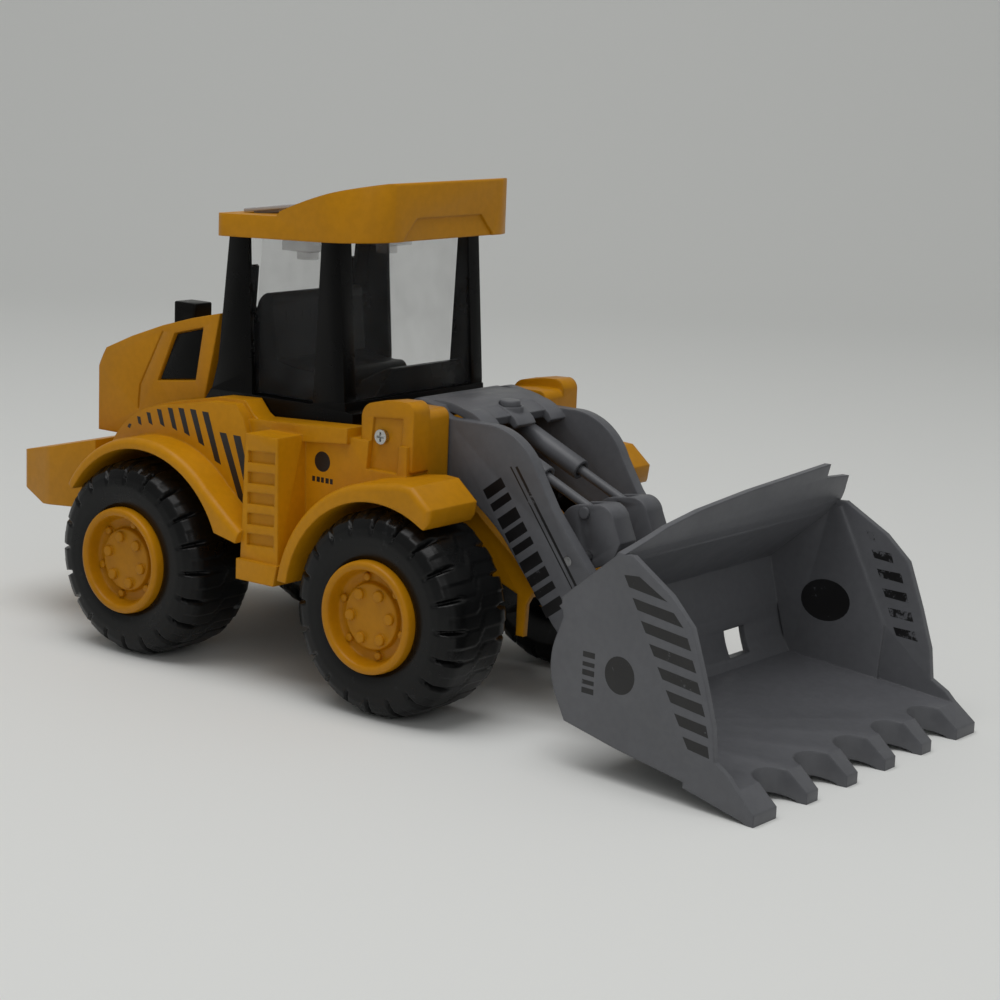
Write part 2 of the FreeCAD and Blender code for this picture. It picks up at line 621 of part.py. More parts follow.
def make_boom():
    px, pz = BOOM_PIVOT
    bx, bz = BUCKET_PIVOT
    tip = 9.5
    arm = [(px, pz + 10), (-5, 94.6), ("arc", (-2.5, 92), (1, 91.2)), (13.5, 91.2),
           ("arc", (28.5, 86.9), (35.5, 78)), (41.5, 68.4), (57.2, 49.9),
           on_circle(BUCKET_PIVOT, tip, 30),
           ("arc", on_circle(BUCKET_PIVOT, tip, -50), on_circle(BUCKET_PIVOT, tip, -138)),
           (43.5, 32), (23.2, 56.2), ("arc", (13.5, 64.2), (1.8, 70.6)), (px, pz - 10),
           ("arc", (px - 10, pz), (px, pz + 10))]
    parts = both("arm", "XZ", arm, "dims.boom_inner_y", "dims.boom_outer_y")
    plate = [(-20.6, 89.5), (-20, 91.8), ("arc", (-18.6, 94.6), (-15, 95.3)), (-6, 95.6),
             ("arc", (0, 94.9), (5, 93.2)), (9, 91.2), (8, 88.6), ("arc", (2, 91.4), (-6, 92.8)),
             (-14, 92.6), (-17.6, 89.5)]
    parts.append(prism("plate", "XZ", plate, "-dims.boom_inner_y", "dims.boom_inner_y"))
    apron = [(3, 94), ("arc", (7.6, 92.5), (10.8, 90.2)), (12, 88.4), (10.6, 87.2), (8.2, 88.9),
             (3, 91)]
    parts += both("apron", "XZ", apron, 13.2, "dims.boom_inner_y")
    parts.append(prism("apron_mid", "XZ", apron, -4.8, 4.8))
    parts.append(disc("cap_boss", "XY", (4.8, 0), 4.5, 89.5, 93.5))
    boom = fuse("boom_fused", parts)
    bore = D["pivot_radius"] + D["running_gap"]
    holes = both_discs("boom_hub_bore", BOOM_PIVOT, bore, 15, 30)
    holes += both_discs("boom_tip_bore", BUCKET_PIVOT, D["pivot_radius"], 15, 30)
    holes += both_discs("boom_lever_bore", LEVER_PIVOT, D["pivot_radius"], 15, 30)
    holes.append(disc("cap_hole", "XY", (4.8, 0), 1.45, 80, 100))
    holes.append(disc("cap_recess", "XY", (4.8, 0), 3.7, 92.9, 100))
    piece(cut("boom", boom, holes), "boom")


def make_pins():
    reach = D["post_outer_y"] - 0.8
    shank = both_discs("pivot_shank", BOOM_PIVOT, D["pivot_radius"], 20.5, reach)
    head = both_discs("pivot_head", BOOM_PIVOT, 2.35, reach, reach + 1.6)
    screws = fuse("pivot_screws", shank + head)
    px, pz = BOOM_PIVOT
    slots = []
    for i, turn in enumerate([0, 90]):
        wide, long = (0.35, 1.5) if turn else (1.5, 0.35)
        cross = [(px - wide, pz - long), (px + wide, pz - long), (px + wide, pz + long),
                 (px - wide, pz + long)]
        slots += both("screw_slot_%d" % i, "XZ", cross, reach + 0.7, reach + 3)
    piece(cut("boom_pivot_screws", screws, slots), "boom_pivot_screws")

    radius = D["pivot_radius"]
    pin = disc("bucket_pin", "XZ", BUCKET_PIVOT, radius, "-dims.boom_outer_y",
               "dims.boom_outer_y")
    piece(pin, "bucket_pivot_pin")
    bar = disc("cylinder_pin", "XZ", CYLINDER_PIVOT, radius, "-dims.boom_inner_y",
               "dims.boom_inner_y")
    piece(bar, "cylinder_pivot_pin")
    bar = disc("lever_pin", "XZ", LEVER_PIVOT, radius, "-dims.boom_outer_y", "dims.boom_outer_y")
    piece(bar, "lever_pivot_pin")
    head = disc("cap_head", "XY", (4.8, 0), 3.4, 92.9, 95.4)
    stem = disc("cap_stem", "XY", (4.8, 0), 1.4, 88.5, 93.4)
    piece(fuse("boom_cap_pin", [head, stem]), "boom_cap_pin")


def along(start, end):
    length = math.dist(start, end)
    return ((end[0] - start[0]) / length, (end[1] - start[1]) / length), length


def tube(name, centre_y, start, direction, low, high, radius):
    """Round bar in the XZ plane, from low to high along direction from start."""
    bar = doc.addObject("Part::Cylinder", name)
    bar.Radius = radius
    bar.Height = high - low
    axis = V(direction[0], 0, direction[1])
    base = V(start[0], centre_y, start[1]) + axis * low
    bar.Placement = FreeCAD.Placement(base, FreeCAD.Rotation(V(0, 0, 1), axis))
    return bar


def make_cylinders():
    direction, length = along(CYLINDER_PIVOT, ROD_END)
    for hand, side in (("left", 1), ("right", -1)):
        y = side * D["cylinder_y"]
        low, high = sorted([side * (D["cylinder_y"] - 2.2), side * (D["cylinder_y"] + 2.2)])
        eye = disc("barrel_eye_" + hand, "XZ", CYLINDER_PIVOT, 3.0, low, high)
        wall = tube("barrel_wall_" + hand, y, CYLINDER_PIVOT, direction, 2.4, 33.5,
                    D["barrel_radius"])
        whole = fuse("barrel_whole_" + hand, [eye, wall])
        hollow = tube("barrel_bore_" + hand, y, CYLINDER_PIVOT, direction, 3.6, 40,
                      D["barrel_bore_radius"])
        hole = disc("barrel_pin_hole_" + hand, "XZ", CYLINDER_PIVOT,
                    D["pivot_radius"] + D["running_gap"], low - 1, high + 1)
        barrel = cut("barrel_" + hand, whole, [hollow, hole])
        piece(barrel, "cylinder_barrel_" + hand)

        shaft = tube("rod_shaft_" + hand, y, CYLINDER_PIVOT, direction, length - 42.0, length,
                     D["rod_radius"])
        knob = disc("rod_knob_" + hand, "XZ", ROD_END, 1.9, y - 1.6, y + 1.6)
        eye = disc("rod_eye_" + hand, "XZ", ROD_END, D["rod_pin_radius"] + D["running_gap"],
                   y - 3, y + 3)
        rod = cut("rod_" + hand, fuse("rod_whole_" + hand, [shaft, knob]), [eye])
        piece(rod, "cylinder_rod_" + hand)


def make_levers():
    """Hooded levers that join the rods to the boom, open towards the barrels."""
    hub = 4.2
    ear = [(37, 62.6), ("arc", (39.4, 66.8), (43.5, 68.6)), (51, 69.6),
           ("arc", (54.8, 68.6), (57, 65.2)), (59.8, 58.7), (57, 52),
           on_circle(LEVER_PIVOT, hub, -55),
           ("arc", on_circle(LEVER_PIVOT, hub, -110), on_circle(LEVER_PIVOT, hub, -160)),
           (42, 57.5)]
    hollow = [(30, 58), (30, 85), (48.6, 85), (48.6, 68), (52, 67.8), (55.2, 64.4),
              (57.2, 60), (54, 58)]
    pins = []
    for hand, side in (("left", 1), ("right", -1)):
        low, high = sorted([side * 4.6, side * 13.4])
        block = prism("lever_block_" + hand, "XZ", ear, low, high)
        space = prism("lever_space_" + hand, "XZ", hollow, low + 1.8, high - 1.8)
        bore = disc("lever_bore_" + hand, "XZ", LEVER_PIVOT,
                    D["pivot_radius"] + D["running_gap"], low - 1, high + 1)
        hole = disc("lever_pin_hole_" + hand, "XZ", ROD_END, D["rod_pin_radius"],
                    low - 1, high + 1)
        piece(cut("lever_" + hand, block, [space, bore, hole]), "tilt_lever_" + hand)
        head = side * 14.4
        pins.append(disc("rod_pin_" + hand, "XZ", ROD_END, D["rod_pin_radius"],
                         min(side * 4.6, head), max(side * 4.6, head)))
        pins.append(disc("rod_pin_head_" + hand, "XZ", ROD_END, 1.9,
                         min(side * 13.4, head), max(side * 13.4, head)))
    piece(fuse("rod_pins", pins), "rod_pins")


# ---------------------------------------------------------------- bucket

def half_at(x, inset=0.0):
    """Half width of the bucket at x; it widens evenly towards the teeth."""
    rear, front = D["bucket_rear_half"], D["bucket_front_half"]
    return rear + (front - rear) * (x - 70.0) / (D["tooth_tip_x"] - 70.0) - inset


def plan_prism(name, inset, low, high):
    first, last = 60.0, 150.0
    outline = [(first, -half_at(first, inset)), (last, -half_at(last, inset)),
               (last, half_at(last, inset)), (first, half_at(first, inset))]
    return prism(name, "XY", outline, low, high)


def make_bucket():
    wall = D["bucket_wall"]
    tip_x = D["tooth_tip_x"]
    side = [(91.6, 68.0), (70.6, 51.4), (71.6, 45.6), (68.6, 38), ("arc", (67.4, 30), (69.4, 22)),
            (73.4, 14.6), (94, 10.6), (119, 6.9), (119, 5.2), (tip_x - 3.5, 0.6),
            (tip_x - 3.2, 0.0), (tip_x, 0.0), (tip_x, 3.4), (137.5, 9.4), (135.2, 11.9),
            (129.8, 15.2), (128.7, 24.8), (124.8, 37.3), (119.6, 51.6), (111.5, 59.4),
            (97, 68.2)]
    block = prism("bucket_block", "XZ", side, -70, 70)
    outer = common("bucket_outer", [block, plan_prism("bucket_plan", 0.0, -5, 90)])

    inside = [(160, 9.0), (137.3, 9.0), (81, 16.4), ("arc", (78.2, 21), (75.6, 32)), (72.2, 46.9),
              (88.5, 61.4), ("arc", (93.4, 67), (96, 73.4)), (98.7, 82.2), (101, 90), (160, 90)]
    cavity = common("bucket_cavity", [
        prism("bucket_inside", "XZ", inside, -70, 70),
        plan_prism("bucket_inside_plan", wall, -5, 100)])
    behind = [(60, -5), (60, 90), (99, 90), (96.5, 82.5), (93.8, 74.3),
              ("arc", (91.2, 68.2), (86.6, 63)), (69.8, 48.5),
              (73.2, 31.5),
              ("arc", (75.8, 20.5), (78.6, 14.2)), (119, 8.6), (119, 5.2), (119, -5)]
    back = common("bucket_behind", [
        prism("bucket_back", "XZ", behind, -70, 70),
        plan_prism("bucket_back_plan", wall, -10, 100)])
    shell = cut("bucket_shell", outer, [cavity, back])

    guard = [(86.6, 63), (69.8, 48.5), (72.2, 46.9), (88.5, 61.4),
             ("arc", (93.4, 67), (96, 73.4)), (98.7, 82.2), (96.5, 82.5), (93.8, 74.3),
             ("arc", (91.2, 68.2), (86.6, 63))]
    upper = common("bucket_upper", [
        prism("bucket_guard", "XZ", guard, -70, 70),
        plan_prism("bucket_guard_plan", 0.0, 40, 100)])
    above = [(-70, 67.6), (-60, 68.2), (-42, 73.8), (-26, 76.8), (0, 79.4), (44.5, 82.2),
             (44.9, 77.6), (59.2, 76.6), (60.0, 69), (70, 68.4), (70, 95), (-70, 95)]
    upper = cut("bucket_lip", upper, [prism("bucket_above", "YZ", above, 60, 120)])

    ears = both("pivot_lug", "XZ", [on_circle(BUCKET_PIVOT, 6.5, 95),
                                    ("arc", on_circle(BUCKET_PIVOT, 6.5, 180),
                                     on_circle(BUCKET_PIVOT, 6.5, -95)),
                                    (78, 19), (73.6, 32), (71, 40)], 14.5, 20.0)
    lining = [(72.2, 46.9), (88.5, 61.4), ("arc", (91, 63.8), (93.2, 66.6)), (95.8, 66.6),
              (113.3, 30), (112, 11), (80, 15.5),
              (75.6, 32)]
    cheeks = common("bucket_cheeks", [
        prism("bucket_lining", "XZ", lining, -70, 70),
        plan_prism("bucket_lining_outer", wall - 0.6, 5, 90)])
    cheeks = cut("bucket_linings", cheeks, [plan_prism("bucket_lining_inner", wall + 0.9, 0, 95)])
    shell = fuse("bucket_joined", [shell, upper, cheeks] + ears)

    holes = [tooth_gap(i) for i in range(5)]
    for hand, y in (("r", -28.8), ("l", 28.8)):
        hole = [(y - 5.9, 19.4), (y + 5.9, 19.4), (y + 5.9, 27.8), (y - 5.9, 27.8)]
        holes.append(prism("square_hole_" + hand, "YZ", hole, 68, 84))
    bore = D["pivot_radius"] + D["running_gap"]
    holes += both_discs("lug_bore", BUCKET_PIVOT, bore, 12, 30)
    piece(cut("bucket", shell, holes), "bucket")


def tooth_gap(index):
    """Curved notch between two teeth, cut right through the cutting edge."""
    tip = D["tooth_tip_x"]
    half = half_at(tip)
    corner, small = 12.0, 6.0
    gap = (2 * half - 2 * corner - 4 * small) / 5.0
    left = -half + corner + index * (gap + small)
    right = left + gap
    middle = (left + right) / 2.0
    outline = [(tip + 1, left), (tip - 5, left + 0.4),
               ("arc", (tip - 12.5, middle), (tip - 5, right - 0.4)), (tip + 1, right)]
    return prism("tooth_gap_%d" % index, "XY", outline, -2, 12)


# ---------------------------------------------------------------- build and write

make_chassis()
make_body_shell()
make_hood()
make_exhaust()
make_counterweight()
make_cab_frame()
make_glazing()
make_roof()
make_interior()
make_wheels()
make_boom()
make_pins()
make_cylinders()
make_levers()
make_bucket()
doc.recompute()

for obj in doc.Objects:
    if "Invalid" in obj.State or "Error" in obj.State:
        raise SystemExit("%s failed: %s" % (obj.Label, obj.State))
for obj in pieces:
    if obj.Shape.isNull() or not obj.Shape.isValid():
        raise SystemExit("%s has no valid shape" % obj.Label)
for obj in pieces:
    obj.Shape.exportStep("parts/%s.step" % obj.Label)
    box = obj.Shape.BoundBox
    print("%-22s %2d solids %9.0f mm3  x %.1f..%.1f  y %.1f..%.1f  z %.1f..%.1f" % (
        obj.Label, len(obj.Shape.Solids), obj.Shape.Volume, box.XMin, box.XMax, box.YMin,
        box.YMax, box.ZMin, box.ZMax))
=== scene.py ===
import json
import math

import bmesh
import bpy
from mathutils import Matrix, Vector


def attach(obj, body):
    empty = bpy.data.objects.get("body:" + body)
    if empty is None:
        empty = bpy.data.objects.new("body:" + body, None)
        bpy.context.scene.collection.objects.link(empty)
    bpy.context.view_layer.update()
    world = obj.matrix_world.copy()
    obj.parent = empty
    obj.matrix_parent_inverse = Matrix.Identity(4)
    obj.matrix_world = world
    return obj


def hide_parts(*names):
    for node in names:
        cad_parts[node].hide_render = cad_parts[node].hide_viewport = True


# Toy wheel loader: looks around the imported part. Shapes below are given in millimetres with x
# measured from the front axle, y from the middle plane and z from the floor.

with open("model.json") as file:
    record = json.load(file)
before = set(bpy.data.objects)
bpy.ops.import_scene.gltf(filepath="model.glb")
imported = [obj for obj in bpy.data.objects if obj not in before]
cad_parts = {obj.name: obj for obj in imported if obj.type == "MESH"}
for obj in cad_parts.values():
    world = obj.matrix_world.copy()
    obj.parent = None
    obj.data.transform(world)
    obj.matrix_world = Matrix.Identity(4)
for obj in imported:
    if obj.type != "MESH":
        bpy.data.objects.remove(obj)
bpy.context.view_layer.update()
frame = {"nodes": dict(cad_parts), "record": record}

MM = 0.001
FRONT_AXLE = 20.5
WHEELBASE = 108.5
WHEEL_RADIUS = 33.0
TYRE_INNER = 29.5
TYRE_WIDTH = 32.0
BOOM_FACE = 24.5
SHELL_FACE = 44.0
REAR_PANEL_FACE = 48.0
STEP_PANEL_FACE = 57.0
BUCKET_WALL = 3.1
BUCKET_RIM_WALL = 2.2
BOSS_X = -66.0
WELD_DISTANCE = 0.002 * MM
FLAT_ANGLE = math.radians(0.6)
BEVEL_ANGLE = math.radians(28.0)
SHARP_ANGLE = math.radians(40)
SIDES = (("left", 1), ("right", -1))


def at(x, y, z):
    """Point in the row frame, in metres."""
    return Vector(((x + FRONT_AXLE) * MM, y * MM, z * MM))


# ------------------------------------------------------------------ materials

def new_material(name):
    material = bpy.data.materials.new(name)
    material.use_nodes = True
    tree = material.node_tree
    return material, tree.nodes, tree.links, tree.nodes["Principled BSDF"]


def noise(nodes, links, scale, detail=3.0, stretch=None, rough=0.5):
    """Noise over the object's own coordinates, scale in cycles per metre.

    stretch holds three scales and then three rotations in radians.
    """
    coords = nodes.new("ShaderNodeTexCoord")
    texture = nodes.new("ShaderNodeTexNoise")
    texture.inputs["Scale"].default_value = scale
    texture.inputs["Detail"].default_value = detail
    texture.inputs["Roughness"].default_value = rough
    source = coords.outputs["Object"]
    if stretch:
        mapping = nodes.new("ShaderNodeMapping")
        mapping.inputs["Scale"].default_value = stretch[:3]
        mapping.inputs["Rotation"].default_value = stretch[3:]
        links.new(source, mapping.inputs["Vector"])
        source = mapping.outputs["Vector"]
    links.new(source, texture.inputs["Vector"])
    return texture.outputs["Fac"]


def ramp(nodes, links, source, stops):
    """Colour ramp with (position, grey or colour) stops."""
    node = nodes.new("ShaderNodeValToRGB")
    elements = node.color_ramp.elements
    while len(elements) < len(stops):
        elements.new(0.5)
    for element, (position, colour) in zip(elements, stops):
        element.position = position
        if not isinstance(colour, (tuple, list)):
            colour = (colour, colour, colour)
        element.color = (*colour, 1.0)
    links.new(source, node.inputs["Fac"])
    return node.outputs["Color"]


def mix(nodes, links, factor, first, second, blend="MIX"):
    """Blend of two colours or colour sockets."""
    node = nodes.new("ShaderNodeMix")
    node.data_type = "RGBA"
    node.blend_type = blend
    sockets = [s for s in node.inputs if s.type == "RGBA"]
    for socket, value in zip(sockets, (first, second)):
        if isinstance(value, tuple):
            socket.default_value = (*value, 1.0)
        else:
            links.new(value, socket)
    if isinstance(factor, float):
        node.inputs["Factor"].default_value = factor
    else:
        links.new(factor, node.inputs["Factor"])
    return [s for s in node.outputs if s.type == "RGBA"][0]


def shade(colour, amount):
    return tuple(min(1.0, c * amount) for c in colour)


def bumped(nodes, links, shader, height, strength, distance, edge):
    """Fine relief over softly rounded edges."""
    bump = nodes.new("ShaderNodeBump")
    bump.inputs["Strength"].default_value = strength
    bump.inputs["Distance"].default_value = distance
    links.new(height, bump.inputs["Height"])
    if edge:
        bevel = nodes.new("ShaderNodeBevel")
        bevel.samples = 4
        bevel.inputs["Radius"].default_value = edge * MM
        links.new(bevel.outputs["Normal"], bump.inputs["Normal"])
    links.new(bump.outputs["Normal"], shader.inputs["Normal"])


def plastic(name, colour, rough, grain, edge, wear, specular):
    """Moulded plastic: uneven tone, fine skin texture, hairline scratches, patchy gloss."""
    material, nodes, links, shader = new_material(name)
    broad = noise(nodes, links, 28.0, 4.0)
    tone = ramp(nodes, links, broad, [(0.3, shade(colour, 0.9)), (0.7, shade(colour, 1.07))])
    fine = noise(nodes, links, 420.0, 2.0)
    speck = ramp(nodes, links, fine, [(0.35, 0.96), (0.65, 1.03)])
    tone = mix(nodes, links, 1.0, tone, speck, "MULTIPLY")
    scratch = noise(nodes, links, 60.0, 6.0, (1.0, 1.0, 22.0, 0.5, 0.9, 0.2), 0.62)
    lines = ramp(nodes, links, scratch, [(0.685, 0.0), (0.70, 0.35 * wear), (0.715, 0.0)])
    pale = tuple(0.55 * c + 0.3 for c in colour)
    tone = mix(nodes, links, lines, tone, pale)
    links.new(tone, shader.inputs["Base Color"])
    patches = noise(nodes, links, 75.0, 5.0, None, 0.6)
    dull = ramp(nodes, links, patches, [(0.3, rough - 0.07), (0.75, rough + 0.12)])
    links.new(dull, shader.inputs["Roughness"])
    shader.inputs["Specular IOR Level"].default_value = specular
    skin = noise(nodes, links, 1500.0, 2.0)
    bumped(nodes, links, shader, skin, grain, 0.00012, edge)
    return material


def clear_plastic(name, colour, alpha, haze, rough=0.06):
    """Thin clear plastic with smears and moulding streaks that show as a faint haze."""
    material, nodes, links, shader = new_material(name)
    streak = noise(nodes, links, 45.0, 4.0, (1.0, 1.0, 0.12, 0.0, 0.0, 0.0), 0.6)
    cloud = noise(nodes, links, 120.0, 3.0)
    both = mix(nodes, links, 0.35, streak, cloud)
    veil = ramp(nodes, links, both, [(0.42, alpha), (0.72, haze)])
    links.new(veil, shader.inputs["Alpha"])
    tint = ramp(nodes, links, cloud, [(0.3, shade(colour, 0.9)), (0.7, colour)])
    links.new(tint, shader.inputs["Base Color"])
    gloss = ramp(nodes, links, cloud, [(0.3, rough), (0.7, rough * 2.2)])
    links.new(gloss, shader.inputs["Roughness"])
    shader.inputs["Specular IOR Level"].default_value = 0.6
    wave = noise(nodes, links, 200.0, 1.0)
    bumped(nodes, links, shader, wave, 0.03, 0.0001, 0.3)
    return material


def metal(name, colour, rough):
    """Bare metal with faint drawn lines."""
    material, nodes, links, shader = new_material(name)
    brushed = noise(nodes, links, 900.0, 3.0, (1.0, 0.08, 1.0, 0.0, 0.0, 0.0))
    tone = ramp(nodes, links, brushed, [(0.3, shade(colour, 0.75)), (0.7, colour)])
    links.new(tone, shader.inputs["Base Color"])
    dull = ramp(nodes, links, brushed, [(0.3, rough), (0.7, rough + 0.15)])
    links.new(dull, shader.inputs["Roughness"])
    shader.inputs["Metallic"].default_value = 1.0
    bumped(nodes, links, shader, brushed, 0.08, 0.00005, 0.15)
    return material


def rubber(name, colour):
    """Tyre plastic: half gloss, with faint grey scuffs."""
    material, nodes, links, shader = new_material(name)
    broad = noise(nodes, links, 60.0, 5.0, None, 0.65)
    tone = ramp(nodes, links, broad, [(0.3, colour), (0.72, shade(colour, 1.9))])
    scuff = noise(nodes, links, 260.0, 6.0, (1.0, 0.3, 1.0, 0.3, 0.0, 0.2), 0.7)
    marks = ramp(nodes, links, scuff, [(0.62, 0.0), (0.74, 0.1)])
    tone = mix(nodes, links, marks, tone, (0.16, 0.165, 0.17))
    links.new(tone, shader.inputs["Base Color"])
    dull = ramp(nodes, links, broad, [(0.3, 0.24), (0.7, 0.4)])
    links.new(dull, shader.inputs["Roughness"])
    shader.inputs["Specular IOR Level"].default_value = 0.24
    skin = noise(nodes, links, 900.0, 3.0)
    bumped(nodes, links, shader, skin, 0.2, 0.00015, 0.3)
    return material


def printed(name, under, lost):
    """Pad-printed ink, rubbed away in flecks that show the plastic under it."""
    material, nodes, links, shader = new_material(name)
    flecks = noise(nodes, links, 700.0, 5.0, None, 0.7)
    patch = noise(nodes, links, 110.0, 3.0)
    both = mix(nodes, links, 0.45, flecks, patch)
    gone = ramp(nodes, links, both, [(lost, 0.0), (lost + 0.05, 1.0)])
    tone = mix(nodes, links, gone, INK, under)
    links.new(tone, shader.inputs["Base Color"])
    dull = ramp(nodes, links, patch, [(0.3, 0.34), (0.7, 0.5)])
    links.new(dull, shader.inputs["Roughness"])
    bumped(nodes, links, shader, flecks, 0.05, 0.00005, 0.0)
    return material


YELLOW = (0.52, 0.222, 0.0022)
HUB_YELLOW = (0.46, 0.190, 0.0018)
GREY = (0.113, 0.115, 0.125)
BLACK = (0.0022, 0.0022, 0.0022)
SEAT_BLACK = (0.004, 0.0032, 0.003)
INK = (0.007, 0.0065, 0.007)

MATERIALS = {
    "yellow_plastic": plastic("yellow_moulded_plastic", YELLOW, 0.38, 0.10, 0.9, 0.05, 0.2),
    "hub_plastic": plastic("hub_moulded_plastic", HUB_YELLOW, 0.36, 0.10, 0.4, 0.04, 0.2),
    "grey_plastic": plastic("grey_moulded_plastic", GREY, 0.42, 0.16, 0.8, 0.3, 0.34),
    "black_plastic": plastic("black_moulded_plastic", BLACK, 0.30, 0.12, 0.3, 0.01, 0.12),
    "seat_plastic": plastic("seat_plastic", SEAT_BLACK, 0.36, 0.12, 0.3, 0.01, 0.14),
    "tyre_plastic": rubber("tyre_plastic", (0.0022, 0.0023, 0.0024)),
    "clear_plastic": clear_plastic("clear_cab_plastic", (0.12, 0.125, 0.13), 0.05, 0.12),
    "roof_plate_plastic": clear_plastic("silvery_roof_plate", (0.55, 0.56, 0.58), 0.75, 0.92, 0.16),
    "steel_pin": metal("steel_wire", (0.55, 0.55, 0.56), 0.28),
    "plated_screw": metal("plated_screw", (0.62, 0.62, 0.60), 0.2),
}
THICK_CLEAR = clear_plastic("thick_clear_plastic", (0.30, 0.28, 0.27), 0.2, 0.6)
INK_ON_YELLOW = printed("black_ink_on_yellow", YELLOW, 0.66)
INK_ON_GREY = printed("black_ink_on_grey", GREY, 0.60)
WORN_INK_ON_GREY = printed("worn_black_ink_on_grey", GREY, 0.50)


# ------------------------------------------------------------------ mesh helpers

def finish_piece(name, work, body, slot, replaced=(), material=None, smooth=True):
    """Turn a working mesh into a piece that rides on a body."""
    mesh = bpy.data.meshes.new(name)
    bmesh.ops.recalc_face_normals(work, faces=work.faces)
    work.to_mesh(mesh)
    work.free()
    obj = bpy.data.objects.new(name, mesh)
    bpy.context.scene.collection.objects.link(obj)
    mesh.materials.append(material or MATERIALS[slot])
    for polygon in mesh.polygons:
        polygon.use_smooth = smooth
    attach(obj, body)
    if replaced:
        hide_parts(*replaced)
    return obj


def apply_modifiers(obj):
    """Replace an object's mesh with what its modifiers make of it."""
    graph = bpy.context.evaluated_depsgraph_get()
    mesh = bpy.data.meshes.new_from_object(obj.evaluated_get(graph))
    mesh.name = obj.name
    obj.modifiers.clear()
    obj.data = mesh


def bevel(obj, width, segments):
    """Rounding of an object's sharp edges, width in millimetres."""
    modifier = obj.modifiers.new("bevel", "BEVEL")
    modifier.width = width * MM
    modifier.segments = segments
    modifier.limit_method = "ANGLE"
    modifier.angle_limit = BEVEL_ANGLE
    modifier.use_clamp_overlap = True
    modifier.harden_normals = True
    modifier.miter_outer = "MITER_ARC"


def on_step_panel(vert):
    """True on the outer face of the step panels, whose rungs leave holes in one flat face."""
    return abs(abs(vert.co.y) - STEP_PANEL_FACE * MM) < 0.02 * MM


def rounded(node, body, slot, width, segments):
    """Copy of a CAD node with its edges rounded, shown in the node's place."""
    source = frame["nodes"][node]
    work = bmesh.new()
    work.from_mesh(source.data)
    bmesh.ops.remove_doubles(work, verts=work.verts, dist=WELD_DISTANCE)
    free = [v for v in work.verts if node != "body_shell" or not on_step_panel(v)]
    chosen = set(free)
    edges = [e for e in work.edges if e.verts[0] in chosen or e.verts[1] in chosen]
    bmesh.ops.dissolve_limit(work, angle_limit=FLAT_ANGLE, verts=free, edges=edges)
    obj = finish_piece(node + "_moulded", work, body, slot, (node,))
    bevel(obj, width, segments)
    apply_modifiers(obj)
    for polygon in obj.data.polygons:
        polygon.use_smooth = True
    obj.data.set_sharp_from_angle(angle=SHARP_ANGLE)


def lathe(work, profile, centre, side, steps):
    """Surface of revolution about Y: profile of (radius, distance from the middle plane)."""
    rings = []
    for radius, out in profile:
        ring = []
        for i in range(steps):
            a = 2 * math.pi * i / steps
            ring.append(work.verts.new(at(centre[0] + radius * math.cos(a), side * out,
                                          centre[1] + radius * math.sin(a))))
        rings.append(ring)
    for first, second in zip(rings, rings[1:]):
        for i in range(steps):
            j = (i + 1) % steps
            work.faces.new((first[i], first[j], second[j], second[i]))
    for ring in (rings[0], rings[-1]):
        work.faces.new(ring)


def smooth_profile(points, rounds=2):
    """Corner-cutting, which rounds the corners of a profile but keeps its two ends."""
    for _ in range(rounds):
        result = [points[0]]
        for (x0, y0), (x1, y1) in zip(points, points[1:]):
            result.append((0.75 * x0 + 0.25 * x1, 0.75 * y0 + 0.25 * y1))
            result.append((0.25 * x0 + 0.75 * x1, 0.25 * y0 + 0.75 * y1))
        result.append(points[-1])
        points = result
    return points


def close_prism(work, low, high):
    """Faces of the solid between two outlines with the same number of corners."""
    work.faces.new(low[::-1])
    work.faces.new(high)
    for i in range(len(low)):
        j = (i + 1) % len(low)
        work.faces.new((low[i], low[j], high[j], high[i]))


def print_patch(name, outline, place, body, ink):
    """Film of ink half sunk in a face: outline of (u, v) put in place by a function."""
    work = bmesh.new()
    low = [work.verts.new(place(u, v, -FILM / 2)) for u, v in outline]
    high = [work.verts.new(place(u, v, FILM / 2)) for u, v in outline]
    close_prism(work, low, high)
    finish_piece(name, work, body, "black_plastic", (), ink, False)


# ------------------------------------------------------------------ wheels

LUGS = 20
PITCH = 2 * math.pi / LUGS


def smoothstep(low, high, value):
    """Smooth climb from 0 at low to 1 at high."""
    t = min(1.0, max(0.0, (value - low) / (high - low)))
    return t * t * (3 - 2 * t)


def groove(angle, across, radius):
    """Depth in mm of the groove between two lugs; across runs from 0 outside to 1 inside."""
    path = 0.5 * PITCH * smoothstep(0.42, 0.54, across)
    offset = (angle - path + 0.5 * PITCH) % PITCH - 0.5 * PITCH
    shoulder = max(1 - smoothstep(0.17, 0.30, across), smoothstep(0.70, 0.83, across))
    half = (0.36 + 0.32 * shoulder) / WHEEL_RADIUS
    near = 1 - smoothstep(half * 0.6, half * 1.35, abs(offset))
    depth = 0.3 + 2.3 * shoulder
    fade = smoothstep(25.6, 28.2, radius)
    tilt = 0.45 * (offset / PITCH + 0.5) * smoothstep(29.8, 32.0, radius)
    return near * depth * fade + tilt


